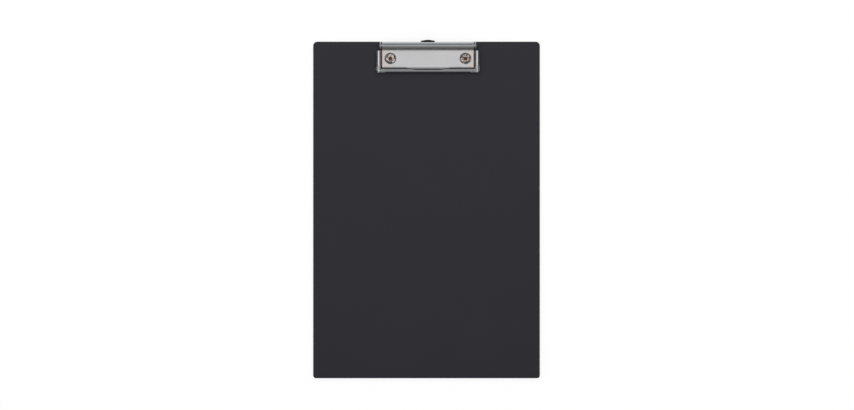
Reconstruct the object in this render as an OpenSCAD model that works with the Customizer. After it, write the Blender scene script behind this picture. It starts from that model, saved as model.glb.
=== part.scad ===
// Clipboard: a film-covered board with a spring bow clip and a slide-out hanger.
// Millimetres. The origin is the centre of the board's back face, +Y runs to the clip end and +Z out
// of the writing face. The clip's own modules are drawn in the clip frame: x from the middle of the
// clip, y from the hinge axis, z from the board's front face.

/* [Board] */
// Width of the board
board_w = 229; // [180:1:320]
// Length of the board
board_l = 340; // [240:1:460]
// Thickness of the board with its cover and lining
board_t = 3; // [2:0.1:5]
// Corner radius at the clip end
corner_r_top = 4.2; // [1.5:0.1:12]
// Corner radius at the foot end
corner_r_foot = 2.8; // [1.5:0.1:12]

/* [Cover and lining] */
// Thickness of the cover film
film_t = 0.2; // [0.1:0.05:0.4]
// Width of the film turned in on the back
turn_in = 12; // [6:0.5:12]
// Thickness of the back lining
lining_t = 0.2; // [0.1:0.05:0.4]
// Border between the lining and the board's edge
lining_inset = 4; // [1:0.5:5]
// Gap between the edge of the turned-in film and the lining's raised middle
turn_in_gap = 0.1; // [0.05:0.05:0.5]

/* [Clip place] */
// How far the clip sits to the right of the board's middle
clip_offset = 1.4; // [-20:0.1:20]
// Distance from the board's clip end to the barrel
barrel_from_edge = 0.5; // [0.1:0.1:25]

/* [Clip base] */
// Thickness of the base's sheet
sheet_t = 0.8; // [0.5:0.05:1]
// Width of the land
land_w = 93.2; // [86:0.1:130]
// Distance from the hinge axis to the front lip
land_l = 22.6; // [21:0.1:40]
// Height of the land's top over the board
land_h = 3.4; // [3.2:0.1:4.4]
// Outer radius of the bend from the land into its front skirt
skirt_r = 1.7; // [1:0.1:2.4]
// Outer radius of the bends from the land into its side skirts
side_skirt_r = 0.9; // [0.5:0.1:1.7]
// Radius of the land's front corners
land_corner_r = 1.5; // [0.5:0.1:3]
// How far the front lip bulges in its middle
bulge_out = 1.2; // [0.5:0.1:1.6]
// Width of the bulge between the middles of its two slopes
bulge_w = 30; // [20:1:40]
// Length of each of the bulge's two slopes
bulge_slope = 6.5; // [4:0.5:12]
// Share of the bulge's depth that is added to the radius of its bend
bulge_bend = 0.7; // [0:0.1:0.9]

/* [Barrel and hinge pin] */
// Outer radius of the rolled barrel
barrel_r = 4.2; // [3.8:0.1:5.2]
// How much the land stands out past each end of the barrel
barrel_inset = 0.5; // [0:0.1:2]
// Gap between the barrel and the board
barrel_gap = 0.2; // [0.1:0.05:1]
// Width of the seam where the roll ends on the land
seam_gap = 0.25; // [0.1:0.05:0.5]
// Thickness of the barrel's crimped end walls
end_wall_t = 0.8; // [0.5:0.1:1.5]
// Radius of the hinge pin
pin_r = 1.5; // [1:0.05:1.8]
// Radial clearance between the pin and the end walls
pin_clearance = 0.05; // [0.02:0.01:0.1]
// Radius of the pin's peened heads
pin_head_r = 1.8; // [1.8:0.1:3]
// Thickness of the pin's peened heads
pin_head_t = 0.3; // [0.2:0.1:1.5]

/* [Bow] */
// Width of the bow's legs
leg_w = 5.2; // [5:0.1:8.4]
// Width of the bow's front bar
bar_w = 3.8; // [3.7:0.1:6]
// Height of the legs' crest over the board
leg_h = 4.6; // [4.3:0.1:6]
// Height of the front bar's crest over the board
bar_h = 4.4; // [4:0.1:5.8]
// Thickness of the bow's sheet
bow_wall = 1; // [0.6:0.05:1]
// Gap between the bow and the board
bow_lift = 0.2; // [0.1:0.05:0.5]
// Gap between a leg and the land's side
side_gap = 0.4; // [0.3:0.05:1]
// Gap between the front bar and the front lip
front_gap = 0.4; // [0.3:0.05:1]
// Radius of the bow's outer corners, seen from above
bow_corner_r = 3; // [1.5:0.1:3]
// Radius of the ends of the legs, seen from above
leg_end_r = 2.2; // [1:0.1:2.4]
// Gap, along the board, between the barrel and the end of a leg
leg_end_gap = 0.6; // [0.3:0.1:3]
// Thickness of an ear
ear_t = 1.2; // [0.8:0.05:2]
// Gap between an ear and the barrel's end
ear_gap = 1; // [0.5:0.05:2]
// How much lower than the barrel an ear's eye is all round
eye_inset = 0.2; // [0.1:0.05:0.5]
// Radial clearance between the pin and the ears that it is pressed into
eye_clearance = 0.02; // [0.01:0.01:0.05]

/* [Corner guards] */
// Thickness of a guard's wall
guard_t = 0.45; // [0.3:0.05:0.45]
// Thickness of a guard's floor, which rests on the paper
guard_floor = 0.5; // [0.3:0.05:0.8]
// Length of a guard along the front bar
guard_on_bar = 10; // [7:0.5:20]
// Length of a guard along a leg
guard_on_leg = 6.5; // [5:0.5:10]
// Clearance between a guard and the bow
guard_clearance = 0.05; // [0.03:0.01:0.1]

/* [Springs] */
// Diameter of the spring wire
wire_d = 1; // [0.8:0.05:1.05]
// Coils of each spring
spring_turns = 9.25; // [5.25:1:9.25]
// Distance between neighbouring coils
spring_pitch = 1.5; // [1.5:0.01:1.55]
// Clearance between the coils and the barrel
coil_clearance = 0.3; // [0.2:0.05:0.4]
// Gap, along the pin, between a spring's arm and a rivet's cup
arm_gap = 0.55; // [0.5:0.05:1]
// Clearance round a spring's hook in the pin, and round its arm in the barrel
hook_clearance = 0.15; // [0.1:0.05:0.3]
// Length of the arm that bears on the land, from the hinge axis
spring_arm = 13; // [8:0.5:15]

/* [Rivets] */
// Distance from the land's side to the middle of a rivet
rivet_from_side = 8.75; // [8.1:0.05:12]
// Distance from the hinge axis to the rivets
rivet_from_axis = 12.7; // [12:0.1:13.2]
// Outer radius of a rivet's shank
shank_r = 2; // [1.6:0.05:2.2]
// Wall thickness of a rivet's hollow shank
rivet_wall = 0.6; // [0.4:0.05:0.7]
// Radius of the rolled rim's section
rim_r = 1.1; // [0.9:0.05:1.2]
// Radius of a rivet's head on the back
rivet_head_r = 4.6; // [3.5:0.1:5]
// Thickness of a rivet's head on the back
rivet_head_t = 0.6; // [0.4:0.05:0.8]
// How far the back head lies below the back face
rivet_head_depth = 0.15; // [0.05:0.05:0.3]
// Radial clearance round a rivet
rivet_clearance = 0.15; // [0.05:0.05:0.3]
// Radius of a rivet cup's mouth
cup_mouth_r = 5.6; // [5.2:0.1:6]
// Radius of a rivet cup's floor
cup_floor_r = 4.3; // [4.1:0.1:4.6]
// Radius of the bend from the land into a rivet cup
cup_bend_r = 1.1; // [0.2:0.1:1.2]

/* [Hanger tab] */
// Width of the tab
tab_w = 14; // [11:0.1:20]
// Thickness of the tab
tab_t = 1.6; // [1.2:0.05:1.9]
// Gap between the tab and the board
tab_lift = 0.1; // [0.05:0.05:0.2]
// Clearance between the tab and its window in the barrel
tab_clearance = 0.3; // [0.2:0.05:0.5]
// How far the tab's end stands out past the board when it is pushed in
tab_out = 0.55; // [0.5:0.05:4]
// Width of the nub in the middle of the tab's end
nub_w = 9.6; // [5:0.1:10]
// How far the nub stands out past the tab's end
nub_out = 0.7; // [0.5:0.1:2]
// Height of the raised lip along the tab's end, behind the barrel
tab_lip_h = 5.9; // [2.3:0.1:6]
// Greatest depth of the raised lip
lip_depth = 1.2; // [0.6:0.1:1.6]
// Gap between the raised lip and the barrel
lip_gap = 0.15; // [0.1:0.05:0.3]
// Radius of the hanging hole
hang_hole_r = 3; // [2:0.1:4]
// Distance from the tab's end to the middle of the hanging hole
hang_hole_in = 5.4; // [5:0.1:8]
// How far the tail stands out past each side of the tab, to stop it at the barrel
tail_step = 2.5; // [1.5:0.1:5]
// Length of the tab's tail
tail_l = 3.5; // [2:0.1:6]
// Gap between the tail and the front skirt
tail_gap = 0.6; // [0.3:0.1:2]
// Radius of the tab's corners
tab_corner_r = 1; // [0.3:0.1:1.5]

/* [Hidden] */
$fn = 96;
// How far a cut runs past the face that it opens
cut = 1;
// Radius left at a corner that is meant to be sharp
crisp_r = 0.3;

nickel = "#C9C7C3";
film_colour = "#35343A";

hinge_from_edge = barrel_from_edge + barrel_r;
hinge_y = board_l / 2 - hinge_from_edge;
axis_h = barrel_r + barrel_gap;
bore_r = barrel_r - sheet_t;
barrel_w = land_w - 2 * barrel_inset;
land_under = land_h - sheet_t;

// The bow's outline: inner and outer edges of its legs and its front bar
leg_in = land_w / 2 + side_gap;
leg_out = leg_in + leg_w;
leg_mid = (leg_in + leg_out) / 2;
bar_in = -land_l - front_gap;
bar_out = bar_in - bar_w;
bar_mid = (bar_in + bar_out) / 2;
leg_end = -barrel_r - leg_end_gap;
guard_top = bow_lift + guard_floor;

ear_in = barrel_w / 2 + ear_gap;
ear_out = ear_in + ear_t;
eye_r = barrel_r - eye_inset;

coil_r = bore_r - coil_clearance - wire_d / 2;
rivet_x = land_w / 2 - rivet_from_side;
coil_stop = rivet_x - cup_mouth_r - sheet_t - arm_gap - wire_d / 2;
coil_start = coil_stop + spring_pitch * (spring_turns - 0.25);

tab_end = hinge_from_edge + tab_out;
tab_lip_d = min(lip_depth, tab_end - barrel_r - lip_gap);
tail_w = tab_w + 2 * tail_step;
tail_end = -land_l + sheet_t + tail_gap;
tab_top = tab_lift + tab_t;
window_top = tab_top + tab_clearance;
// The tail reaches the barrel after this travel
tab_travel = -tail_end - tail_l - sqrt(pow(barrel_r, 2) - pow(axis_h - tab_top, 2));
echo(tab_travel = tab_travel);

// ---- Shapes that several pieces share ----

// A rectangle with its own radius at the far corners and at the near ones
module rounded_plate(w, l, r_far, r_near) {
    difference() {
        square([w, l], center = true);
        for (sx = [-1, 1], sy = [-1, 1]) {
            r = sy > 0 ? r_far : r_near;
            translate([sx * w / 2, sy * l / 2])
                difference() {
                    square(2 * r, center = true);
                    translate([-sx * r, -sy * r]) circle(r);
                }
        }
    }
}

// The board's outline, drawn in by an inset
module board_outline(inset) {
    rounded_plate(board_w - 2 * inset, board_l - 2 * inset,
                  max(corner_r_top - inset, crisp_r), max(corner_r_foot - inset, crisp_r));
}

// Places the clip frame on the board
module on_board() {
    translate([clip_offset, hinge_y, board_t]) children();
}

// Repeats a piece of the clip frame at both rivets
module at_rivets() {
    for (side = [-1, 1])
        translate([side * rivet_x, -rivet_from_axis, 0]) children();
}

// A prism along X of a section drawn in y and z
module along_x(w) {
    rotate([90, 0, 90]) linear_extrude(w, center = true) children();
}

// Share of the bulge's full depth at x, with slopes shaped as half a cosine wave
function bulge_share(x) =
    let (t = (abs(x) - bulge_w / 2) / bulge_slope)
    t <= -0.5 ? 1 : t >= 0.5 ? 0 : (1 - sin(180 * t)) / 2;

// Everything in front of the bulging line that lies a distance in front of the front lip
module in_front_of_lip(distance) {
    reach = bulge_w / 2 + bulge_slope;
    steps = 40;
    line = [for (i = [0:steps])
        let (x = -reach + 2 * reach * i / steps)
        [x, -land_l - distance - bulge_out * bulge_share(x)]];
    far = leg_out + cut;
    translate([0, 0, -cut])
        linear_extrude(axis_h + barrel_r + 2 * cut)
            polygon(concat([[-far, -2 * land_l], [-far, -land_l - distance]], line,
                           [[far, -land_l - distance], [far, -2 * land_l]]));
}

// ---- Board ----

module board_core() {
    color("#8F8A80")
        difference() {
            translate([0, 0, lining_t + film_t])
                linear_extrude(board_t - lining_t - 2 * film_t)
                    board_outline(film_t);
            rivet_holes();
        }
}

// The holes for the rivets through the board, with a seat for each back head
module rivet_holes() {
    on_board()
        at_rivets() {
            translate([0, 0, -board_t - cut])
                cylinder(h = board_t + 2 * cut, r = shank_r + rivet_clearance);
            translate([0, 0, -board_t - cut])
                cylinder(h = rivet_head_depth + rivet_head_t + cut, r = rivet_head_r + rivet_clearance);
        }
}

module front_cover() {
    color(film_colour)
        difference() {
            translate([0, 0, lining_t]) linear_extrude(board_t - lining_t) board_outline(0);
            translate([0, 0, lining_t + film_t])
                linear_extrude(board_t - lining_t - 2 * film_t)
                    board_outline(film_t);
            translate([0, 0, lining_t - cut])
                linear_extrude(film_t + 2 * cut)
                    board_outline(turn_in);
            rivet_holes();
        }
}

module back_lining() {
    color(film_colour)
        difference() {
            union() {
                linear_extrude(lining_t) board_outline(lining_inset);
                linear_extrude(lining_t + film_t) board_outline(turn_in + turn_in_gap);
            }
            rivet_holes();
        }
}

// ---- Clip base ----

module clip_base() {
    color(nickel)
        on_board()
            difference() {
                union() {
                    land();
                    barrel();
                    at_rivets() rivet_cup();
                }
                hanger_window();
                arm_slots();
            }
}

// The land with skirts at its front and its sides, open over the rivet cups
module land() {
    difference() {
        land_block(0);
        land_block(sheet_t);
        at_rivets() cylinder(h = axis_h, r = cup_mouth_r + sheet_t / 2);
    }
}

// The land's outer shape, or the hollow under it when it is drawn in by an inset
module land_block(inset) {
    overrun = inset > 0 ? cut : 0;
    bottom = -overrun;
    r = max(skirt_r - inset, crisp_r);
    bulge_r = min(r + bulge_bend * bulge_out, land_h - inset - crisp_r);
    side_r = max(side_skirt_r - inset, crisp_r);
    back = overrun - sqrt(pow(barrel_r - sheet_t / 2, 2) - pow(axis_h - land_h, 2));
    intersection() {
        union() {
            intersection() {
                front_profile(inset, 0, bottom, r, back);
                translate([0, 0, -2 * cut])
                    linear_extrude(axis_h + 4 * cut)
                        rounded_plate(land_w - 2 * inset, 2 * (land_l - inset),
                                      crisp_r, max(land_corner_r - inset, crisp_r));
            }
            intersection() {
                front_profile(inset, bulge_out, bottom, bulge_r, back);
                bulge_plan(inset);
            }
        }
        rotate([90, 0, 0])
            linear_extrude(2 * land_l + 2 * bulge_out, center = true)
                side_profile(inset, bottom, side_r);
    }
}

// The land's section from front to back, shifted forward by the bulge
module front_profile(inset, shift, bottom, r, back) {
    front = -land_l - shift + inset;
    along_x(land_w)
        union() {
            translate([front + r, bottom]) square([back - front - r, land_h - inset - bottom]);
            translate([front, bottom]) square([r, land_h - inset - r - bottom]);
            intersection() {
                translate([front + r, land_h - inset - r]) circle(r);
                translate([front, land_h - inset - r]) square([r, r]);
            }
        }
}

// The land's section from side to side
module side_profile(inset, bottom, r) {
    w = land_w - 2 * inset;
    translate([-w / 2, bottom]) square([w, land_h - inset - r - bottom]);
    translate([-w / 2 + r, bottom]) square([w - 2 * r, land_h - inset - bottom]);
    for (side = [-1, 1])
        intersection() {
            translate([side * (w / 2 - r), land_h - inset - r]) circle(r);
            translate([-w / 2, land_h - inset - r]) square([w, r]);
        }
}

// The part of the land that lies behind the bulging line
module bulge_plan(inset) {
    difference() {
        translate([-bulge_w / 2 - bulge_slope + inset, -land_l - bulge_out, -2 * cut])
            cube([bulge_w + 2 * bulge_slope - 2 * inset, land_l, axis_h + 4 * cut]);
        translate([0, inset, 0]) in_front_of_lip(0);
    }
}

// The sheet rolled round the hinge axis, with its seam over the land and crimped end walls
module barrel() {
    difference() {
        translate([0, 0, axis_h]) rotate([0, 90, 0]) cylinder(h = barrel_w, r = barrel_r, center = true);
        translate([0, 0, axis_h])
            rotate([0, 90, 0])
                cylinder(h = barrel_w - 2 * end_wall_t, r = bore_r, center = true);
        translate([0, 0, axis_h])
            rotate([0, 90, 0])
                cylinder(h = barrel_w + 2 * cut, r = pin_r + pin_clearance, center = true);
        translate([-barrel_w / 2 - cut, -barrel_r - cut, land_h])
            cube([barrel_w + 2 * cut, barrel_r + cut - pin_r - 2 * pin_clearance - sheet_t, seam_gap]);
    }
}

// A dished seat that brings the land down to the board under a rivet
module rivet_cup() {
    hole_r = shank_r + rivet_clearance;
    depth = land_h - sheet_t;
    lean = (cup_mouth_r - cup_floor_r) / depth;
    under_r = cup_floor_r + sheet_t * (sqrt(1 + pow(lean, 2)) - lean);
    slope = atan2(depth, cup_mouth_r - cup_floor_r);
    bend = cup_bend_r * tan(slope / 2);
    rotate_extrude()
        difference() {
            polygon([[hole_r, 0],
                     [under_r, 0],
                     [cup_mouth_r + sheet_t, land_under],
                     [cup_mouth_r + sheet_t, land_h],
                     [cup_mouth_r, land_h],
                     [cup_floor_r, sheet_t],
                     [hole_r, sheet_t]]);
            difference() {
                polygon([[cup_mouth_r + bend, land_h - cup_bend_r],
                         [cup_mouth_r + bend, land_h + cut],
                         [cup_mouth_r - cut, land_h + cut],
                         [cup_mouth_r - bend * cos(slope), land_h - bend * sin(slope)]]);
                translate([cup_mouth_r + bend, land_h - cup_bend_r]) circle(cup_bend_r);
            }
        }
}

// The window under the barrel that the hanger tab slides through
module hanger_window() {
    w = tab_w + 2 * tab_clearance;
    translate([-w / 2, -barrel_r - cut, -cut]) cube([w, 2 * barrel_r + 2 * cut, window_top + cut]);
}

// The slots in the barrel that let the springs' arms out under the land
module arm_slots() {
    w = wire_d + 2 * hook_clearance;
    for (side = [-1, 1])
        translate([side * coil_stop - w / 2, -barrel_r - cut, axis_h - coil_r - w / 2])
            cube([w, barrel_r + cut, w]);
}

// ---- Hinge pin ----

module hinge_pin() {
    color("silver")
        on_board()
            translate([0, 0, axis_h])
                difference() {
                    rotate([0, 90, 0]) {
                        cylinder(h = 2 * ear_out, r = pin_r, center = true);
                        for (side = [-1, 1])
                            translate([0, 0, side * (ear_out + pin_head_t / 2)])
                                cylinder(h = pin_head_t, r = pin_head_r, center = true);
                    }
                    for (side = [-1, 1])
                        translate([side * coil_start, 0, 0])
                            rotate([90, 0, 0])
                                cylinder(h = 2 * pin_r + cut, r = wire_d / 2 + hook_clearance, center = true);
                }
}

// ---- Springs ----

// The wire's centre line: a hook through the pin, the coils, and the arm under the land
function spring_path() =
    let (bend = 0.9,
         hook_end = pin_r - 0.2,
         arm_start = 2,
         first = -25,
         last = -360 * (spring_turns - 0.25) - 90,
         steps = round(spring_turns * 8))
    concat(
        [[coil_start, -hook_end, 0]],
        [for (a = [90, 60, 30]) [coil_start, coil_r - bend + bend * cos(a), -bend + bend * sin(a)]],
        [for (i = [0:steps])
            let (a = first + (last - first) * i / steps,
                 x = coil_start + (coil_stop - coil_start) * i / steps)
            [x, coil_r * cos(a), coil_r * sin(a)]],
        [[coil_stop, -arm_start, -coil_r], [coil_stop, -spring_arm, -coil_r]]);

// Direction of the wire at point i of a path
function heading(path, i) =
    let (a = path[max(i - 1, 0)],
         b = path[min(i + 1, len(path) - 1)])
    (b - a) / norm(b - a);

// One ring of the wire's surface, square to its path
function wire_ring(path, i, sides) =
    let (t = heading(path, i),
         u0 = [1, 0, 0] - t[0] * t,
         u = u0 / norm(u0),
         v = cross(t, u))
    [for (k = [0:sides - 1])
        path[i] + wire_d / 2 * (cos(360 * k / sides) * u + sin(360 * k / sides) * v)];

// The least gap between stretches of wire that are more than half a coil apart
function least_gap(path) =
    min([for (i = [0:len(path) - 1], j = [i + 5:1:len(path) - 1]) norm(path[i] - path[j])]) - wire_d;

module spring_wire() {
    sides = 6;
    path = spring_path();
    n = len(path);
    points = [for (i = [0:n - 1]) each wire_ring(path, i, sides)];
    walls = [for (i = [0:n - 2], k = [0:sides - 1])
        let (a = i * sides + k,
             b = i * sides + (k + 1) % sides)
        each [[a, a + sides, b], [b, a + sides, b + sides]]];
    start = [for (k = [1:sides - 2]) [0, k, k + 1]];
    end = [for (k = [1:sides - 2]) [(n - 1) * sides, (n - 1) * sides + k + 1, (n - 1) * sides + k]];
    polyhedron(points, concat(start, walls, end));
}

module spring_left() {
    color("gainsboro")
        on_board()
            translate([0, 0, axis_h])
                mirror([1, 0, 0])
                    spring_wire();
}

module spring_right() {
    color("gainsboro")
        on_board()
            translate([0, 0, axis_h])
                spring_wire();
}

echo(spring_least_gap = least_gap(spring_path()));

// ---- Bow ----

// A strip's half-round section on straight sides, drawn in by an inset
module bead_section(w, h, inset, bottom) {
    half = w / 2;
    side = h - half;
    translate([-half + inset, bottom]) square([w - 2 * inset, side - bottom]);
    intersection() {
        translate([0, side]) circle(half - inset);
        translate([-half, side]) square([w, half]);
    }
}

// The bow's two legs and its front bar, drawn in by an inset
module bow_form(inset, bottom) {
    length = leg_end - bar_out - 2 * inset;
    intersection() {
        union() {
            for (side = [-1, 1])
                translate([side * leg_mid, leg_end - inset, 0])
                    rotate([90, 0, 0])
                        linear_extrude(length)
                            bead_section(leg_w, leg_h, inset, bottom);
            intersection() {
                translate([0, bar_mid, 0]) along_x(2 * leg_mid) bead_section(bar_w, bar_h, inset, bottom);
                in_front_of_lip(front_gap + inset);
            }
        }
        translate([0, (leg_end + bar_out) / 2, bottom - cut])
            linear_extrude(leg_h + 3 * cut)
                rounded_plate(2 * (leg_out - inset), length, leg_end_r, bow_corner_r - inset);
    }
}

// The stretch of the bow that a corner guard covers
module guard_zone(grow) {
    h = leg_h + 2 * cut;
    translate([leg_out - guard_on_bar - grow, bar_out - cut, -cut])
        cube([guard_on_bar + grow + cut, guard_on_leg + grow + cut, h]);
}

module clip_bow() {
    waist = guard_t + guard_clearance;
    color(nickel)
        on_board()
            difference() {
                union() {
                    difference() {
                        bow_form(0, bow_lift);
                        bow_form(bow_wall, -cut);
                        for (side = [0, 1]) mirror([side, 0, 0]) guard_zone(guard_clearance);
                    }
                    for (side = [0, 1])
                        mirror([side, 0, 0])
                            intersection() {
                                difference() {
                                    bow_form(waist, guard_top + guard_clearance);
                                    bow_form(waist + bow_wall, -cut);
                                }
                                guard_zone(2 * guard_clearance);
                            }
                    for (side = [0, 1]) mirror([side, 0, 0]) ear();
                }
                translate([0, 0, axis_h])
                    rotate([0, 90, 0])
                        cylinder(h = 2 * ear_out + 2 * cut, r = pin_r + eye_clearance, center = true);
            }
}

// The plate that carries a leg on the hinge pin
module ear() {
    root = leg_end - leg_end_r;
    translate([(ear_in + ear_out) / 2, 0, 0])
        along_x(ear_t) {
            translate([0, axis_h]) circle(eye_r);
            polygon([[0, axis_h - eye_r],
                     [0, axis_h + eye_r],
                     [leg_end, leg_h - bow_wall],
                     [root, leg_h - leg_w / 2 + bow_wall],
                     [root, bow_lift + eye_inset]]);
        }
}

// ---- Corner guards ----

module corner_guard() {
    intersection() {
        difference() {
            bow_form(0, bow_lift);
            bow_form(guard_t, guard_top);
        }
        guard_zone(0);
    }
}

module corner_guard_left() {
    color("lightcyan", 0.5) on_board() mirror([1, 0, 0]) corner_guard();
}

module corner_guard_right() {
    color("lightcyan", 0.5) on_board() corner_guard();
}

// ---- Rivets ----

// A semi-tubular rivet: solid flat head in the back, hollow shank, and an end rolled over in the cup
module rivet(side) {
    seat = board_t + sheet_t;
    bottom = rivet_head_depth;
    inner_r = shank_r - rivet_wall;
    roll_mid = inner_r + rim_r;
    color("#C2B4A4")
        translate([clip_offset + side * rivet_x, hinge_y - rivet_from_axis, 0])
            rotate_extrude() {
                translate([inner_r, bottom]) square([rivet_wall, seat - bottom]);
                translate([0, bottom]) square([rivet_head_r, rivet_head_t]);
                translate([roll_mid, seat])
                    difference() {
                        circle(rim_r);
                        circle(rim_r - rivet_wall);
                        translate([-rim_r - cut, -rim_r - cut]) square([2 * rim_r + 2 * cut, rim_r + cut]);
                    }
            }
}

module rivet_left() {
    rivet(-1);
}

module rivet_right() {
    rivet(1);
}

// ---- Hanger tab ----

module hanger_tab() {
    body_l = tab_end - tail_end;
    color("#211E1B")
        on_board()
            translate([0, 0, tab_lift])
                difference() {
                    union() {
                        linear_extrude(tab_t)
                            union() {
                                translate([0, (tab_end + tail_end) / 2])
                                    rounded_plate(tab_w, body_l, tab_corner_r, tab_corner_r);
                                translate([0, tail_end + tail_l / 2])
                                    rounded_plate(tail_w, tail_l, crisp_r, tab_corner_r);
                                nub();
                            }
                        linear_extrude(tab_lip_h)
                            intersection() {
                                union() {
                                    translate([0, tab_end - body_l / 2])
                                        rounded_plate(tab_w, body_l, tab_corner_r, tab_corner_r);
                                    nub();
                                }
                                translate([-tab_w, tab_end - tab_lip_d])
                                    square([2 * tab_w, tab_lip_d + 2 * nub_out]);
                            }
                    }
                    translate([0, tab_end - hang_hole_in, -cut])
                        cylinder(h = tab_lip_h + 2 * cut, r = hang_hole_r);
                }
}

// The finger nub: a low arc in the middle of the tab's end
module nub() {
    r = (pow(nub_w / 2, 2) + pow(nub_out, 2)) / (2 * nub_out);
    intersection() {
        translate([0, tab_end + nub_out - r]) circle(r);
        translate([-nub_w / 2, tab_end - tab_lip_d]) square([nub_w, tab_lip_d + nub_out]);
    }
}

board_core();
front_cover();
back_lining();
clip_base();
clip_bow();
hinge_pin();
spring_left();
spring_right();
corner_guard_left();
corner_guard_right();
rivet_left();
rivet_right();
hanger_tab();
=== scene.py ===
"""A film-covered clipboard with a sprung nickel-plated bow clip and a slide-out hanging tab.

Metres, in the frame of the CAD part: the origin is the centre of the board's back face, +Y runs to the
clip end and +Z out of the writing face. The sections follow the board as it is put together.
"""

import math

import bmesh
import bpy
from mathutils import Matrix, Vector


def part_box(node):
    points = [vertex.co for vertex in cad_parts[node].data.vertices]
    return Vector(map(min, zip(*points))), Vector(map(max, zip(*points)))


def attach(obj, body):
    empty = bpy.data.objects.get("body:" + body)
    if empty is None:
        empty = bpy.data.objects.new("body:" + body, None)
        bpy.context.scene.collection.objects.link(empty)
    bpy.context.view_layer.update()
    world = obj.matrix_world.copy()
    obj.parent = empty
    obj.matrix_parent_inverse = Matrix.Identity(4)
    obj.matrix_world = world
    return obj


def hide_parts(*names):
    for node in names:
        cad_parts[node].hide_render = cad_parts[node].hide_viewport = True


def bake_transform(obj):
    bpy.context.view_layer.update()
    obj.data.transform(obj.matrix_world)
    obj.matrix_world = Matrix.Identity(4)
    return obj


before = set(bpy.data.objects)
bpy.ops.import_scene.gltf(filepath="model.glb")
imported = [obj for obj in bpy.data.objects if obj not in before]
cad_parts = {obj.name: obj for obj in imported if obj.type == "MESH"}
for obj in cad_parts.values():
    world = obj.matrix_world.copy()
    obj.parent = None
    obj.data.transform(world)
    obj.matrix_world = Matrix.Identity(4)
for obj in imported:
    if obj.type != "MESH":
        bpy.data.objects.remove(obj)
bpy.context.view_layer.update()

# ---------------------------------------------------------------------------------------------
# Greyboard core. Pressed from waste paper, about 2.4 mm thick, die-cut to size. The film and the
# lining glued round it hide all of it but the walls of the two rivet holes.
# ---------------------------------------------------------------------------------------------
MM = 0.001


def linear(hex_colour):
    """An sRGB hex colour as linear RGBA."""
    parts = [int(hex_colour[i:i + 2], 16) / 255 for i in (1, 3, 5)]
    curve = [c / 12.92 if c <= 0.04045 else ((c + 0.055) / 1.055) ** 2.4 for c in parts]
    return (*curve, 1.0)


def cells(size):
    """Cells per metre of a pattern whose cells measure this many millimetres."""
    return 1 / (size * MM)


def new_material(name):
    """An empty node material."""
    made = bpy.data.materials.new(name)
    made.use_nodes = True
    made.node_tree.nodes.clear()
    return made


def add(material, kind, inputs=None, take=None, **settings):
    """Adds one node with its settings. An input given as a socket is linked, any other is set.
    Returns the output named by take, or the node."""
    made = material.node_tree.nodes.new("ShaderNode" + kind)
    for key, value in settings.items():
        setattr(made, key, value)
    for key, value in (inputs or {}).items():
        socket = made.inputs[key] if isinstance(key, int) else next(
            s for s in made.inputs if s.name == key and s.enabled)
        if isinstance(value, bpy.types.NodeSocket):
            material.node_tree.links.new(value, socket)
        else:
            socket.default_value = value
    return made if take is None else next(s for s in made.outputs if s.name == take and s.enabled)


# Greyboard: unbleached pulp, dull, with fibres and flecks of old print about 1 mm across
greyboard = new_material("greyboard_pulp")
place = add(greyboard, "TexCoord", take="Object")
fibres = add(greyboard, "TexNoise", {"Vector": place, "Scale": cells(1.111), "Detail": 4.0}, take="Fac")
tone = add(greyboard, "Mix", {"Factor": fibres, "A": linear("#7C776C"), "B": linear("#A39D90")},
           data_type="RGBA", take="Result")
relief = add(greyboard, "Bump", {"Height": fibres, "Strength": 0.3, "Distance": 0.05 * MM}, take="Normal")
pulp = add(greyboard, "BsdfPrincipled",
           {"Base Color": tone, "Roughness": 0.9, "Specular IOR Level": 0.2, "Normal": relief})
add(greyboard, "OutputMaterial", {"Surface": pulp.outputs["BSDF"]})

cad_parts["board_core"].material_slots[0].material = greyboard

# ---------------------------------------------------------------------------------------------
# Cover film. A charcoal PVC film, 0.2 mm thick with a fine matt grain, laid over the front, drawn
# round the four edges and turned 12 mm in on the back. The folds at its corners aren't drawn.
# ---------------------------------------------------------------------------------------------
board_low, board_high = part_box("front_cover")
BOARD_W, BOARD_L, BOARD_T = 2 * board_high.x, 2 * board_high.y, board_high.z
CORNER_TOP, CORNER_FOOT = 4.2 * MM, 2.8 * MM
FILM_T = 0.2 * MM
LINING_T = board_low.z
TURN_IN = 12 * MM
EDGE_R = 0.4 * MM
LEAST_R = 0.3 * MM
RIVET_X = (-36.45 * MM, 39.25 * MM)
RIVET_Y = 152.6 * MM
RIVET_HOLE_R = 2.15 * MM


def outline(inset, z, steps=10):
    """The board's outline drawn in by an inset, as a loop of points that turns anticlockwise."""
    points = []
    corners = ((1, 1, 0, CORNER_TOP), (-1, 1, 90, CORNER_TOP),
               (-1, -1, 180, CORNER_FOOT), (1, -1, 270, CORNER_FOOT))
    for side_x, side_y, start, corner in corners:
        r = max(corner - inset, LEAST_R)
        middle_x = side_x * (BOARD_W / 2 - inset - r)
        middle_y = side_y * (BOARD_L / 2 - inset - r)
        for k in range(steps + 1):
            turn = math.radians(start + 90 * k / steps)
            points.append((middle_x + r * math.cos(turn), middle_y + r * math.sin(turn), z))
    return points


def circle(x, y, z, r, steps=32):
    """A loop of points round a hole."""
    return [(x + r * math.cos(math.tau * k / steps), y + r * math.sin(math.tau * k / steps), z)
            for k in range(steps)]


def loop(mesh, points):
    """Adds a closed loop of vertices and its edges."""
    ring = [mesh.verts.new(p) for p in points]
    edges = [mesh.edges.new((ring[k], ring[(k + 1) % len(ring)])) for k in range(len(ring))]
    return ring, edges


def bridge(mesh, ring, other):
    """Fills the band between two loops of the same number of points."""
    count = len(ring)
    for k in range(count):
        mesh.faces.new((ring[k], ring[(k + 1) % count], other[(k + 1) % count], other[k]))


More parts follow.
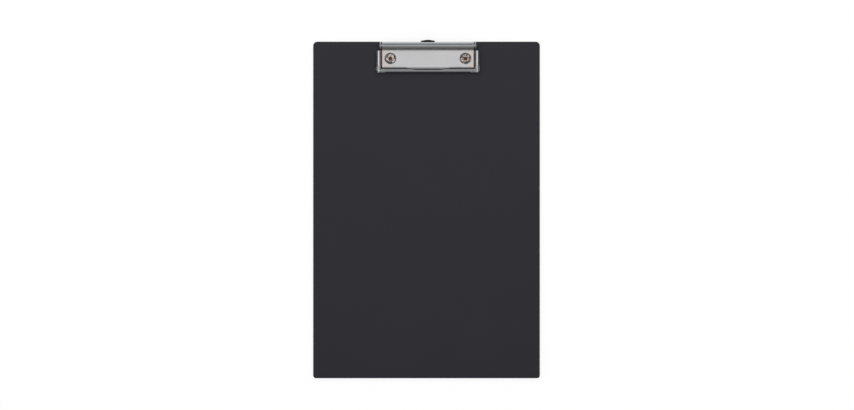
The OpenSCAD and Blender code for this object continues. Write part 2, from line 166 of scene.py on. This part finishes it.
def piece(name, mesh, material, sharp=40):
    """Makes an object of a bmesh, smooth up to the sharp angle in degrees."""
    bmesh.ops.recalc_face_normals(mesh, faces=mesh.faces)
    data = bpy.data.meshes.new(name)
    mesh.to_mesh(data)
    mesh.free()
    data.shade_smooth()
    data.set_sharp_from_angle(angle=math.radians(sharp))
    data.materials.append(material)
    made = bpy.data.objects.new(name, data)
    bpy.context.scene.collection.objects.link(made)
    return made


def arc(middle_inset, middle_z, r, start, end, steps=5):
    """Points of a rounded edge as (inset, z)."""
    turns = [math.radians(start + (end - start) * k / steps) for k in range(steps + 1)]
    return [(middle_inset - r * math.cos(t), middle_z + r * math.sin(t)) for t in turns]


# Charcoal PVC film: near black with a cool cast and a soft sheen. Its grain is about 0.15 mm, which
# is far below a pixel, so it is drawn at 1 mm and again at 0.3 mm. Faint clouds are about 70 mm wide,
# and a few specks of dust show pale.
film = new_material("charcoal_pvc_film")
place = add(film, "TexCoord", take="Object")
grain = add(film, "TexNoise", {"Vector": place, "Scale": cells(1), "Detail": 3.0, "Roughness": 0.6},
            take="Fac")
fine = add(film, "TexNoise", {"Vector": place, "Scale": cells(0.303), "Detail": 2.0}, take="Fac")
clouds = add(film, "TexNoise", {"Vector": place, "Scale": cells(71.43), "Detail": 3.0}, take="Fac")
mottle = add(film, "MapRange", {"Value": grain, "From Min": 0.3, "From Max": 0.7}, take="Result")
tone = add(film, "Mix", {"Factor": mottle, "A": linear("#27262D"), "B": linear("#2E2D35")},
           data_type="RGBA", take="Result")
cloud_share = add(film, "MapRange", {"Value": clouds, "From Min": 0.3, "From Max": 0.7,
                                     "To Min": 0.0, "To Max": 0.35}, take="Result")
tone = add(film, "Mix", {"Factor": cloud_share, "A": tone, "B": linear("#29272D")},
           data_type="RGBA", take="Result")
dust = add(film, "TexVoronoi", {"Vector": place, "Scale": cells(16.67)}, feature="F1")
near = add(film, "MapRange", {"Value": dust.outputs["Distance"], "From Min": 0.022, "From Max": 0.010},
           take="Result")
lot = add(film, "SeparateColor", {"Color": dust.outputs["Color"]}, take="Red")
chosen = add(film, "MapRange", {"Value": lot, "From Min": 0.78, "From Max": 0.95,
                                "To Max": 0.5}, take="Result")
speck = add(film, "Math", {0: near, 1: chosen}, operation="MULTIPLY", take="Value")
tone = add(film, "Mix", {"Factor": speck, "A": tone, "B": linear("#8C8A8E")},
           data_type="RGBA", take="Result")
gloss = add(film, "MapRange", {"Value": grain, "To Min": 0.5, "To Max": 0.64}, take="Result")
relief = add(film, "Bump", {"Height": grain, "Strength": 0.35, "Distance": 0.03 * MM}, take="Normal")
relief = add(film, "Bump", {"Height": fine, "Strength": 0.3, "Distance": 0.015 * MM, "Normal": relief},
             take="Normal")
pvc = add(film, "BsdfPrincipled", {"Base Color": tone, "Roughness": gloss, "IOR": 1.53,
                                   "Specular IOR Level": 0.25, "Normal": relief})
add(film, "OutputMaterial", {"Surface": pvc.outputs["BSDF"]})

# The film's section as (inset, z), from the cut edge of the turn-in round the edge to the front
outer = [(TURN_IN, LINING_T)]
outer += arc(EDGE_R, LINING_T + EDGE_R, EDGE_R, -90, 0)
outer += arc(EDGE_R, BOARD_T - EDGE_R, EDGE_R, 0, 90)
outer += [(TURN_IN, BOARD_T)]
inner_r = EDGE_R - FILM_T
inner = [(TURN_IN, LINING_T + FILM_T)]
inner += arc(EDGE_R, LINING_T + EDGE_R, inner_r, -90, 0)
inner += arc(EDGE_R, BOARD_T - EDGE_R, inner_r, 0, 90)
inner += [(TURN_IN, BOARD_T - FILM_T)]

mesh = bmesh.new()
skins = []
for section in (outer, inner):
    rings = [loop(mesh, outline(inset, z)) for inset, z in section]
    for k in range(len(rings) - 1):
        bridge(mesh, rings[k][0], rings[k + 1][0])
    holes = [loop(mesh, circle(x, RIVET_Y, section[-1][1], RIVET_HOLE_R)) for x in RIVET_X]
    rim = list(rings[-1][1])
    for hole in holes:
        rim += hole[1]
    bmesh.ops.triangle_fill(mesh, use_beauty=True, use_dissolve=False, edges=rim)
    skins.append((rings[0][0], [hole[0] for hole in holes]))
bridge(mesh, skins[0][0], skins[1][0])
for outer_hole, inner_hole in zip(skins[0][1], skins[1][1]):
    bridge(mesh, outer_hole, inner_hole)
cover = piece("cover_film", mesh, film)
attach(cover, "board")
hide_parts("front_cover")

# ---------------------------------------------------------------------------------------------
# Back lining. A charcoal sheet of embossed paper, glued over the back and over the turned-in film,
# 4 mm inside the board's edge. It is 0.2 mm thick over the film and 0.4 mm where there is none.
# ---------------------------------------------------------------------------------------------

# Embossed lining paper: dull, slightly warmer than the film, with a grain of 0.7 mm
lining = new_material("charcoal_lining_paper")
place = add(lining, "TexCoord", take="Object")
laid = add(lining, "TexVoronoi", {"Vector": place, "Scale": cells(0.7143)}, feature="SMOOTH_F1",
           take="Distance")
fibres = add(lining, "TexNoise", {"Vector": place, "Scale": cells(1.667), "Detail": 4.0}, take="Fac")
tone = add(lining, "Mix", {"Factor": fibres, "A": linear("#2A292C"), "B": linear("#343336")},
           data_type="RGBA", take="Result")
relief = add(lining, "Bump", {"Height": laid, "Strength": 0.4, "Distance": 0.04 * MM}, take="Normal")
paper = add(lining, "BsdfPrincipled",
            {"Base Color": tone, "Roughness": 0.82, "Specular IOR Level": 0.3, "Normal": relief})
add(lining, "OutputMaterial", {"Surface": paper.outputs["BSDF"]})

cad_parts["back_lining"].material_slots[0].material = lining

# ---------------------------------------------------------------------------------------------
# Clip base. One pressing of 0.8 mm nickel-plated steel: a flat land with skirts, two dished seats
# for the rivets, and a back edge rolled into the barrel that holds the hinge pin and the springs.
# ---------------------------------------------------------------------------------------------
LAND_Z = 6.4 * MM
LAND_END_Y = 160.6 * MM
LAND_FRONT_Y = 144.4 * MM
CLIP_X = (RIVET_X[0] + RIVET_X[1]) / 2
SEAT_FROM_MIDDLE = (RIVET_X[1] - RIVET_X[0]) / 2
SEAT_R, SEAT_EDGE = 5.5 * MM, 0.4 * MM
LAND_BELOW, LAND_ABOVE = (0.12 * MM, 0.02 * MM), (0.05 * MM, 0.2 * MM)
LAND_FADE, BEND_SATIN = 0.2 * MM, 0.75
LAND_WARM_REFLECTION_X = (38 * MM, 46 * MM)

# Nickel plate: the barrel, the rivet seats and the skirts are bright, and the land and the bend at
# its front are satin, with lines along X. Their real width of 0.02 mm is drawn as 0.15 mm. The
# land's two ends are a little warmer, which is a painted warm reflection. In the seats the riveting
# has dented the plate in spots of about 2.4 mm, and the seats carry painted reflections: dark brown
# and near-white patches that stand in for the dark arcs and glints of the dished seats. The satin
# fades out just below, above and past the land.
nickel = new_material("nickel_plate_satin_land")
place = add(nickel, "TexCoord", take="Object")
axes = add(nickel, "SeparateXYZ", {"Vector": place})
low = add(nickel, "MapRange", {"Value": axes.outputs["Z"], "From Min": LAND_Z - LAND_BELOW[0],
                               "From Max": LAND_Z - LAND_BELOW[1]}, take="Result")
high = add(nickel, "MapRange", {"Value": axes.outputs["Z"], "From Min": LAND_Z + LAND_ABOVE[1],
                                "From Max": LAND_Z + LAND_ABOVE[0]}, take="Result")
front = add(nickel, "MapRange", {"Value": axes.outputs["Y"], "From Min": LAND_END_Y + LAND_FADE,
                                 "From Max": LAND_END_Y}, take="Result")
flat = add(nickel, "Math", {0: low, 1: high}, operation="MULTIPLY", take="Value")
bend = add(nickel, "MapRange", {"Value": axes.outputs["Y"], "From Min": LAND_FRONT_Y + LAND_FADE,
                                "From Max": LAND_FRONT_Y, "To Max": BEND_SATIN}, take="Result")
flat = add(nickel, "Math", {0: flat, 1: bend}, operation="MAXIMUM", take="Value")
flat = add(nickel, "Math", {0: flat, 1: front}, operation="MULTIPLY", take="Value")
stretched = add(nickel, "Mapping",
                {"Vector": place, "Scale": (cells(25), cells(0.1515), cells(0.1515))}, take="Vector")
lines = add(nickel, "TexNoise", {"Vector": stretched, "Scale": 1.0, "Detail": 2.0}, take="Fac")
clouds = add(nickel, "TexNoise", {"Vector": place, "Scale": cells(16.67), "Detail": 3.0}, take="Fac")
roll_tone = add(nickel, "Mix", {"Factor": clouds, "A": linear("#C6C4C3"), "B": linear("#CCCAC9")},
                data_type="RGBA", take="Result")
land_tone = add(nickel, "Mix", {"Factor": clouds, "A": linear("#DEDCDC"), "B": linear("#E3E2E2")},
                data_type="RGBA", take="Result")
tone = add(nickel, "Mix", {"Factor": flat, "A": roll_tone, "B": land_tone}, data_type="RGBA", take="Result")
from_middle = add(nickel, "Math", {0: axes.outputs["X"], 1: CLIP_X}, operation="SUBTRACT", take="Value")
from_middle = add(nickel, "Math", {0: from_middle}, operation="ABSOLUTE", take="Value")
# Painted warm reflection: the land is painted warmer between these distances from the clip's middle
painted_warm_reflection = add(nickel, "MapRange", {"Value": from_middle, "From Min": LAND_WARM_REFLECTION_X[0],
                                    "From Max": LAND_WARM_REFLECTION_X[1]}, take="Result")
painted_warm_reflection = add(nickel, "Math", {0: painted_warm_reflection, 1: flat}, operation="MULTIPLY", take="Value")
tone = add(nickel, "Mix", {"Factor": painted_warm_reflection, "A": tone, "B": linear("#E6DAD3")},
           data_type="RGBA", take="Result")
across = add(nickel, "Math", {0: from_middle, 1: SEAT_FROM_MIDDLE}, operation="SUBTRACT", take="Value")
along = add(nickel, "Math", {0: axes.outputs["Y"], 1: RIVET_Y}, operation="SUBTRACT", take="Value")
offset = add(nickel, "CombineXYZ", {"X": across, "Y": along}, take="Vector")
radius = add(nickel, "VectorMath", {0: offset}, operation="LENGTH", take="Value")
seat = add(nickel, "MapRange", {"Value": radius, "From Min": SEAT_R, "From Max": SEAT_R - SEAT_EDGE},
           take="Result")
# Painted reflections in the seats: this noise sets dark brown and near-white patches that stand in for the
# dished seats' dark arcs and glints, and the same noise dents the seats
dents_and_painted_reflections = add(nickel, "TexNoise", {"Vector": place, "Scale": cells(2.381), "Detail": 2.0}, take="Fac")
seat_reflection_mask = add(nickel, "MapRange", {"Value": dents_and_painted_reflections, "From Min": 0.45, "From Max": 0.56}, take="Result")
seat_painted_reflection = add(nickel, "Mix", {"Factor": seat_reflection_mask, "A": linear("#F0EDF2"), "B": linear("#6C655E")},
            data_type="RGBA", take="Result")
tone = add(nickel, "Mix", {"Factor": seat, "A": tone, "B": seat_painted_reflection}, data_type="RGBA", take="Result")
satin = add(nickel, "MapRange", {"Value": clouds, "From Min": 0.3, "From Max": 0.7,
                                 "To Min": 0.42, "To Max": 0.48}, take="Result")
bright = add(nickel, "MapRange", {"Value": clouds, "From Min": 0.3, "From Max": 0.7,
                                  "To Min": 0.09, "To Max": 0.15}, take="Result")
gloss = add(nickel, "Mix", {"Factor": flat, "A": bright, "B": satin}, data_type="FLOAT", take="Result")
depth = add(nickel, "Math", {0: flat, 1: lines}, operation="MULTIPLY", take="Value")
relief = add(nickel, "Bump", {"Height": depth, "Strength": 0.12, "Distance": 0.02 * MM}, take="Normal")
depth = add(nickel, "Math", {0: seat, 1: dents_and_painted_reflections}, operation="MULTIPLY", take="Value")
relief = add(nickel, "Bump", {"Height": depth, "Strength": 0.8, "Distance": 1.2 * MM, "Normal": relief},
             take="Normal")
plate = add(nickel, "BsdfPrincipled",
            {"Base Color": tone, "Metallic": 1.0, "Roughness": gloss, "Normal": relief})
add(nickel, "OutputMaterial", {"Surface": plate.outputs["BSDF"]})

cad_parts["clip_base"].material_slots[0].material = nickel

# ---------------------------------------------------------------------------------------------
# Rivets. Semi-tubular steel rivets, plated with nickel over copper: a flat head let into the back,
# a shank through board and base, and a bored end rolled out in the seat, where it cracks and spreads.
# ---------------------------------------------------------------------------------------------
BORE_R = 1.4 * MM
SHANK_R = 2.0 * MM
RIM_R = 1.1 * MM
RIVET_WALL = 0.6 * MM
SEAT_Z = 3.8 * MM
HEAD_R, HEAD_LOW, HEAD_TOP = 4.6 * MM, 0.15 * MM, 0.75 * MM
SHANK_TOP = SEAT_Z - 0.4 * MM
RIVET_STEPS = 144
LOBE_SPREAD, LOBE_SINK = 0.24, 0.3
CRACK_CUT = 0.55
# The head's rounded edges, as (inset, drop) at its top and as (inset, rise) at its foot
HEAD_EDGE_TOP = ((0.2 * MM, 0.0), (0.05 * MM, 0.06 * MM), (0.0, 0.2 * MM))
HEAD_EDGE_FOOT = ((0.0, 0.14 * MM), (0.04 * MM, 0.04 * MM), (0.14 * MM, 0.0))

# Dull plate on the rolled end: pinkish grey, scuffed by the riveting tool in marks of about 0.8 mm
rivet_plate = new_material("dull_nickel_over_copper")
place = add(rivet_plate, "TexCoord", take="Object")
scuffs = add(rivet_plate, "TexNoise",
             {"Vector": place, "Scale": cells(0.7692), "Detail": 3.0, "Roughness": 0.65}, take="Fac")
worn = add(rivet_plate, "MapRange", {"Value": scuffs, "From Min": 0.40, "From Max": 0.66}, take="Result")
tone = add(rivet_plate, "Mix", {"Factor": worn, "A": linear("#E2D6CC"), "B": linear("#A58A76")},
           data_type="RGBA", take="Result")
gloss = add(rivet_plate, "MapRange", {"Value": scuffs, "To Min": 0.24, "To Max": 0.46}, take="Result")
relief = add(rivet_plate, "Bump", {"Height": scuffs, "Strength": 0.6, "Distance": 0.15 * MM}, take="Normal")
plate = add(rivet_plate, "BsdfPrincipled",
            {"Base Color": tone, "Metallic": 1.0, "Roughness": gloss, "Normal": relief})
add(rivet_plate, "OutputMaterial", {"Surface": plate.outputs["BSDF"]})

# Bare copper flash in the bore: brown and dull, in stains of about 0.7 mm
bore_metal = new_material("copper_flash")
place = add(bore_metal, "TexCoord", take="Object")
stains = add(bore_metal, "TexNoise", {"Vector": place, "Scale": cells(0.6667), "Detail": 3.0}, take="Fac")
tone = add(bore_metal, "Mix", {"Factor": stains, "A": linear("#94735C"), "B": linear("#54402F")},
           data_type="RGBA", take="Result")
copper = add(bore_metal, "BsdfPrincipled", {"Base Color": tone, "Metallic": 1.0, "Roughness": 0.4})
add(bore_metal, "OutputMaterial", {"Surface": copper.outputs["BSDF"]})


def rivet(name, x, cracks, phase):
    """Turns a rivet's section round its axis. cracks holds the angle in degrees, the half width in
    radians and the depth of each crack of the rolled end. Its three large and seven small lobes are
    turned by phase."""
    roll_mid = BORE_R + RIM_R
    roll_r = RIM_R - RIVET_WALL
    bore = [(BORE_R, HEAD_TOP), (BORE_R, SHANK_TOP)]
    roll = [(roll_mid - RIM_R * math.cos(math.radians(a)), SEAT_Z + RIM_R * math.sin(math.radians(a)))
            for a in range(0, 181, 15)]
    under = [(roll_mid + roll_r * math.cos(math.radians(a)), SEAT_Z + roll_r * math.sin(math.radians(a)))
             for a in range(0, 181, 30)]
    head = [(SHANK_R, SHANK_TOP), (SHANK_R, HEAD_TOP)]
    head += [(HEAD_R - inset, HEAD_TOP - drop) for inset, drop in HEAD_EDGE_TOP]
    head += [(HEAD_R - inset, HEAD_LOW + rise) for inset, rise in HEAD_EDGE_FOOT]
    section = bore + roll + under + head
    mesh = bmesh.new()
    rings = []
    for k in range(RIVET_STEPS):
        turn = math.tau * k / RIVET_STEPS
        crack = 0.0
        for angle, width, depth in cracks:
            away = (turn - math.radians(angle) + math.pi) % math.tau - math.pi
            crack = max(crack, depth * math.exp(-(away / width) ** 2))
        lobes = 0.5 + 0.3 * math.sin(3 * turn + phase) + 0.2 * math.sin(7 * turn + 2 * phase)
        ring = []
        for r, z in section:
            if z > SHANK_TOP:
                share = min(max((r - BORE_R) / (2 * RIM_R), 0.0), 1.0)
                r += (r - BORE_R) * (LOBE_SPREAD * lobes - CRACK_CUT * crack * share)
                z -= (z - SEAT_Z) * share * (CRACK_CUT * crack + LOBE_SINK * lobes)
            ring.append(mesh.verts.new((x + r * math.cos(turn), RIVET_Y + r * math.sin(turn), z)))
        rings.append(ring)
    for k in range(RIVET_STEPS):
        this, after = rings[k], rings[(k + 1) % RIVET_STEPS]
        for i in range(len(section) - 1):
            face = mesh.faces.new((this[i], after[i], after[i + 1], this[i + 1]))
            face.material_index = 1 if i < len(bore) else 0
    for i, material_index in ((0, 1), (len(section) - 1, 0)):
        mesh.faces.new([ring[i] for ring in rings]).material_index = material_index
    made = piece(name, mesh, rivet_plate, sharp=50)
    made.data.materials.append(bore_metal)
    return made


for name, node, x, cracks, phase in (
        ("rolled_rivet_left", "rivet_left", RIVET_X[0],
         ((303, 0.16, 0.9), (34, 0.30, 0.7), (108, 0.26, 0.6), (192, 0.20, 0.9), (250, 0.12, 0.5)), 0.4),
        ("rolled_rivet_right", "rivet_right", RIVET_X[1],
         ((20, 0.22, 0.8), (80, 0.28, 0.6), (140, 0.15, 0.9), (215, 0.24, 0.8), (285, 0.2, 0.6)), 2.1)):
    made = rivet(name, x, cracks, phase)
    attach(made, "board")
    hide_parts(node)

# ---------------------------------------------------------------------------------------------
# Hinge pin. A 3 mm steel rod through the barrel, peened over outside the bow's two ears, with a
# cross-hole near each end for the hook of a spring.
# ---------------------------------------------------------------------------------------------

# Drawn steel rod: grey, with drawing lines along X. Their real width of 0.05 mm is drawn as 0.2 mm.
rod = new_material("drawn_steel_rod")
place = add(rod, "TexCoord", take="Object")
stretched = add(rod, "Mapping", {"Vector": place, "Scale": (cells(12.5), cells(0.2), cells(0.2))},
                take="Vector")
lines = add(rod, "TexNoise", {"Vector": stretched, "Scale": 1.0, "Detail": 3.0}, take="Fac")
tone = add(rod, "Mix", {"Factor": lines, "A": linear("#B9B7B3"), "B": linear("#CFCDC9")},
           data_type="RGBA", take="Result")
gloss = add(rod, "MapRange", {"Value": lines, "To Min": 0.24, "To Max": 0.36}, take="Result")
relief = add(rod, "Bump", {"Height": lines, "Strength": 0.2, "Distance": 0.02 * MM}, take="Normal")
steel = add(rod, "BsdfPrincipled",
            {"Base Color": tone, "Metallic": 1.0, "Roughness": gloss, "Normal": relief})
add(rod, "OutputMaterial", {"Surface": steel.outputs["BSDF"]})

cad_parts["hinge_pin"].material_slots[0].material = rod

# ---------------------------------------------------------------------------------------------
# Springs. Two torsion springs of 1 mm spring wire, with coils 1.5 mm apart round the pin inside the
# barrel. One end hooks through the pin and turns with the bow, the other lies under the land.
# ---------------------------------------------------------------------------------------------
HINGE_Y, HINGE_Z = 165.3 * MM, 7.4 * MM
WIRE_R = 0.5 * MM
COIL_R = 2.6 * MM
COIL_HOOK_X, COIL_ARM_X = 43.9 * MM, 30.4 * MM
COIL_TURNS = 9.25
COIL_FIRST = -20
STEPS_PER_TURN = 24
HOOK_Y = (-1.3 * MM, -0.4 * MM, 0.6 * MM, 1.4 * MM)
HOOK_BEND_R = 0.9 * MM
ARM_Y = (-1 * MM, -2 * MM, -5 * MM, -9 * MM, -13 * MM)
WIRE_SIDES = 14

# Spring wire: dark grey steel with a thin film of oil and drawing marks of about 0.4 mm
wire = new_material("oiled_spring_wire")
place = add(wire, "TexCoord", take="Object")
marks = add(wire, "TexNoise", {"Vector": place, "Scale": cells(0.4), "Detail": 3.0}, take="Fac")
tone = add(wire, "Mix", {"Factor": marks, "A": linear("#8F9092"), "B": linear("#B2B3B4")},
           data_type="RGBA", take="Result")
gloss = add(wire, "MapRange", {"Value": marks, "To Min": 0.22, "To Max": 0.38}, take="Result")
relief = add(wire, "Bump", {"Height": marks, "Strength": 0.15, "Distance": 0.03 * MM}, take="Normal")
steel = add(wire, "BsdfPrincipled",
            {"Base Color": tone, "Metallic": 1.0, "Roughness": gloss, "Normal": relief})
add(wire, "OutputMaterial", {"Surface": steel.outputs["BSDF"]})


def spring_line():
    """The wire's centre line round the hinge axis: hook through the pin, coils, and arm."""
    bend = HOOK_BEND_R
    points = [Vector((COIL_HOOK_X, y, 0)) for y in HOOK_Y]
    points += [Vector((COIL_HOOK_X, COIL_R - bend + bend * math.cos(math.radians(a)),
                       -bend + bend * math.sin(math.radians(a)))) for a in range(90, 0, -15)]
    last = -360 * COIL_TURNS
    steps = int(COIL_TURNS * STEPS_PER_TURN)
    for i in range(steps + 1):
        a = math.radians(COIL_FIRST + (last - COIL_FIRST) * i / steps)
        x = COIL_HOOK_X + (COIL_ARM_X - COIL_HOOK_X) * i / steps
        points.append(Vector((x, COIL_R * math.cos(a), COIL_R * math.sin(a))))
    points += [Vector((COIL_ARM_X, y, -COIL_R)) for y in ARM_Y]
    return points


for name, node, side in (("coiled_spring_left", "spring_left", -1),
                         ("coiled_spring_right", "spring_right", 1)):
    line = spring_line()
    mesh = bmesh.new()
    rings = []
    for i, point in enumerate(line):
        heading = (line[min(i + 1, len(line) - 1)] - line[max(i - 1, 0)]).normalized()
        across = (Vector((1, 0, 0)) - heading.x * heading).normalized()
        up = heading.cross(across)
        ring = []
        for k in range(WIRE_SIDES):
            turn = math.tau * k / WIRE_SIDES
            p = point + WIRE_R * (math.cos(turn) * across + math.sin(turn) * up)
            ring.append(mesh.verts.new((CLIP_X + side * p.x, HINGE_Y + p.y, HINGE_Z + p.z)))
        rings.append(ring)
    for i in range(len(rings) - 1):
        bridge(mesh, rings[i], rings[i + 1])
    mesh.faces.new(rings[0])
    mesh.faces.new(rings[-1])
    made = piece(name, mesh, wire, sharp=60)
    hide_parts(node)
    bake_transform(made)

# ---------------------------------------------------------------------------------------------
# Bow. The clamping frame, pressed from 1 mm steel into a half-round section and nickel-plated:
# two legs, a front bar that follows the base's lip, and two ears pressed onto the hinge pin.
# ---------------------------------------------------------------------------------------------

# Bright nickel plate: a mirror with faint ripples from the press and hairline scratches. Ripples are
# about 3.3 mm long, and the scratches, really 0.01 mm wide, are drawn as 0.2 mm.
mirror = new_material("bright_nickel_plate")
place = add(mirror, "TexCoord", take="Object")
ripples = add(mirror, "TexNoise", {"Vector": place, "Scale": cells(3.333), "Detail": 1.0}, take="Fac")
hairs = add(mirror, "TexNoise", {"Vector": place, "Scale": cells(0.2), "Detail": 2.0}, take="Fac")
tone = add(mirror, "Mix", {"Factor": ripples, "A": linear("#BEBCBC"), "B": linear("#C6C5C5")},
           data_type="RGBA", take="Result")
gloss = add(mirror, "MapRange", {"Value": hairs, "From Min": 0.3, "From Max": 0.7,
                                 "To Min": 0.06, "To Max": 0.12}, take="Result")
relief = add(mirror, "Bump", {"Height": ripples, "Strength": 0.25, "Distance": 0.05 * MM}, take="Normal")
plate = add(mirror, "BsdfPrincipled",
            {"Base Color": tone, "Metallic": 1.0, "Roughness": gloss, "Normal": relief})
add(mirror, "OutputMaterial", {"Surface": plate.outputs["BSDF"]})

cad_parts["clip_bow"].material_slots[0].material = mirror

# ---------------------------------------------------------------------------------------------
# Corner guards. Two clear plastic caps moulded to the bow's front corners and pushed on, so that
# the metal doesn't mark the paper.
# ---------------------------------------------------------------------------------------------

# Clear PVC: glossy and slightly milky, with moulded waves of about 1.4 mm, so its outline shows pale
clear = new_material("clear_moulded_pvc")
place = add(clear, "TexCoord", take="Object")
waves = add(clear, "TexNoise", {"Vector": place, "Scale": cells(1.429), "Detail": 1.0}, take="Fac")
tone = add(clear, "Mix", {"Factor": waves, "A": linear("#F1F3F4"), "B": linear("#F8F9F9")},
           data_type="RGBA", take="Result")
relief = add(clear, "Bump", {"Height": waves, "Strength": 0.5, "Distance": 0.25 * MM}, take="Normal")
plastic = add(clear, "BsdfPrincipled", {"Base Color": tone, "Roughness": 0.06, "IOR": 1.53,
                                        "Transmission Weight": 0.86, "Normal": relief})
add(clear, "OutputMaterial", {"Surface": plastic.outputs["BSDF"]})

for node in ("corner_guard_left", "corner_guard_right"):
    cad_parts[node].material_slots[0].material = clear

# ---------------------------------------------------------------------------------------------
# Hanger tab. A strip of black polypropylene that slides under the barrel and is pulled out by its
# raised lip to hang the board up. A wider tail stops it at the barrel.
# ---------------------------------------------------------------------------------------------

# Black polypropylene: brown-black, half matt, with the spark-eroded texture of its mould. The texture
# is really 0.05 mm and is drawn at 0.25 mm.
tab_plastic = new_material("black_polypropylene")
place = add(tab_plastic, "TexCoord", take="Object")
spark = add(tab_plastic, "TexNoise", {"Vector": place, "Scale": cells(0.25), "Detail": 2.0}, take="Fac")
tone = add(tab_plastic, "Mix", {"Factor": spark, "A": linear("#171513"), "B": linear("#221F1B")},
           data_type="RGBA", take="Result")
gloss = add(tab_plastic, "MapRange", {"Value": spark, "To Min": 0.38, "To Max": 0.52}, take="Result")
relief = add(tab_plastic, "Bump", {"Height": spark, "Strength": 0.3, "Distance": 0.02 * MM}, take="Normal")
plastic = add(tab_plastic, "BsdfPrincipled", {"Base Color": tone, "Roughness": gloss, "IOR": 1.49,
                                              "Specular IOR Level": 0.4, "Normal": relief})
add(tab_plastic, "OutputMaterial", {"Surface": plastic.outputs["BSDF"]})

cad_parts["hanger_tab"].material_slots[0].material = tab_plastic

# ---------------------------------------------------------------------------------------------
# Table, lamps and camera. A pale table seen from straight above, with a softbox on each side of
# the camera. A tent of grey cards stands round it all, seen only in reflections and through the
# clear plastic.
# ---------------------------------------------------------------------------------------------


def panel(name, corners, material):
    """A flat sheet of the studio, which isn't part of the object."""
    data = bpy.data.meshes.new(name)
    data.from_pydata(corners, [], [(0, 1, 2, 3)])
    data.materials.append(material)
    made = bpy.data.objects.new(name, data)
    bpy.context.scene.collection.objects.link(made)
    return made


def seen_plainly(material):
    """1 for a ray of the camera, of a reflection or through clear plastic, and 0 for any other."""
    rays = add(material, "LightPath")
    seen = add(material, "Math", {0: rays.outputs["Is Camera Ray"], 1: rays.outputs["Is Glossy Ray"]},
               operation="MAXIMUM", take="Value")
    return add(material, "Math", {0: seen, 1: rays.outputs["Is Transmission Ray"]},
               operation="MAXIMUM", take="Value")


# White table: seen by the camera and in the metal as white, with a little of the object's shadow
TABLE_REACH, TABLE_Z = 5.0, -0.05 * MM
TABLE_GLOW_SHARE, TABLE_GLOW = 0.70, 1.09
table = new_material("white_table")
share = add(table, "Math", {0: seen_plainly(table), 1: TABLE_GLOW_SHARE}, operation="MULTIPLY", take="Value")
matt = add(table, "BsdfDiffuse", {"Color": linear("#F4F4F4")})
white = add(table, "Emission", {"Color": (1, 1, 1, 1), "Strength": TABLE_GLOW})
both = add(table, "MixShader", {0: share, 1: matt.outputs["BSDF"], 2: white.outputs["Emission"]})
add(table, "OutputMaterial", {"Surface": both.outputs["Shader"]})
panel("table_top", [(x * TABLE_REACH, y * TABLE_REACH, TABLE_Z)
                    for x, y in ((-1, -1), (1, -1), (1, 1), (-1, 1))], table)

# Grey cards, which glow evenly. Over the camera they are strips along X, from the foot to the clip
# end, each given with the Y at which it starts.
REACH, HEIGHT = 3.0, 1.9
STRIP_X = 0.45
STRIPS = (("#68686A", -REACH), ("#B8B8BA", -1.7), ("#949496", -0.9), ("#CECED0", 0.1), ("#747A86", 1.05),
          (None, REACH))


def ceiling(x_low, x_high, y_low, y_high):
    """Corners of a card that hangs flat overhead."""
    return [(x_low, y_low, HEIGHT), (x_high, y_low, HEIGHT),
            (x_high, y_high, HEIGHT), (x_low, y_high, HEIGHT)]


def wall(start_x, start_y, end_x, end_y):
    """Corners of a card that stands on the table."""
    return [(start_x, start_y, 0), (end_x, end_y, 0),
            (end_x, end_y, HEIGHT), (start_x, start_y, HEIGHT)]


cards = [("card_foot", "#68686A", wall(-REACH, -REACH, REACH, -REACH)),
         ("card_clip_end", "#CCD6DA", wall(-REACH, REACH, REACH, REACH)),
         ("card_left", "#646466", wall(-REACH, -REACH, -REACH, REACH)),
         ("card_right", "#646466", wall(REACH, -REACH, REACH, REACH)),
         ("card_overhead_left", "#7C7C7E", ceiling(-REACH, -STRIP_X, -REACH, REACH)),
         ("card_overhead_right", "#7C7C7E", ceiling(STRIP_X, REACH, -REACH, REACH))]
for k, (colour, y_low) in enumerate(STRIPS[:-1]):
    cards.append((f"card_overhead_{k + 1}", colour, ceiling(-STRIP_X, STRIP_X, y_low, STRIPS[k + 1][1])))
for name, colour, corners in cards:
    card = new_material(name)
    card.cycles.emission_sampling = "NONE"
    lit = add(card, "Emission", {"Color": linear(colour)})
    add(card, "OutputMaterial", {"Surface": lit.outputs["Emission"]})
    made = panel(name, corners, card)
    made.visible_camera = made.visible_diffuse = made.visible_shadow = False

# Two softboxes, out beside the camera and towards the clip end
SOFTBOX_X, SOFTBOX_Y, SOFTBOX_Z = 0.405, 0.62, 1.25
SOFTBOX_W, SOFTBOX_L = 0.35, 1.3
SOFTBOX_WATTS = 2.3
for side, name in ((-1, "softbox_left"), (1, "softbox_right")):
    lamp = bpy.data.lights.new(name, "AREA")
    lamp.shape = "RECTANGLE"
    lamp.size, lamp.size_y = SOFTBOX_W, SOFTBOX_L
    lamp.energy = SOFTBOX_WATTS
    made = bpy.data.objects.new(name, lamp)
    made.location = (side * SOFTBOX_X, SOFTBOX_Y, SOFTBOX_Z)
    bpy.context.scene.collection.objects.link(made)

# The room's even light, which the camera, reflections and the clear plastic see as plain white
ROOM_LIGHT = 0.74
world = bpy.data.worlds.new("studio")
world.use_nodes = True
world.node_tree.nodes.clear()
level = add(world, "MapRange", {"Value": seen_plainly(world), "To Min": ROOM_LIGHT}, take="Result")
sky = add(world, "Background", {"Color": (1, 1, 1, 1), "Strength": level})
add(world, "OutputWorld", {"Surface": sky.outputs["Background"]})
bpy.context.scene.world = world

# The camera hangs over the board's middle and looks straight down. Its sensor and lens are in mm.
CAMERA_PLACE = (0.0005, 0.0050, 1.503)
SENSOR_W, FOCAL_LENGTH = 36, 62.6
lens = bpy.data.cameras.new("camera")
lens.sensor_width = SENSOR_W
lens.lens = FOCAL_LENGTH
camera = bpy.data.objects.new("camera", lens)
camera.location = CAMERA_PLACE
bpy.context.scene.collection.objects.link(camera)
bpy.context.scene.camera = camera
bpy.context.scene.view_settings.view_transform = "Standard"
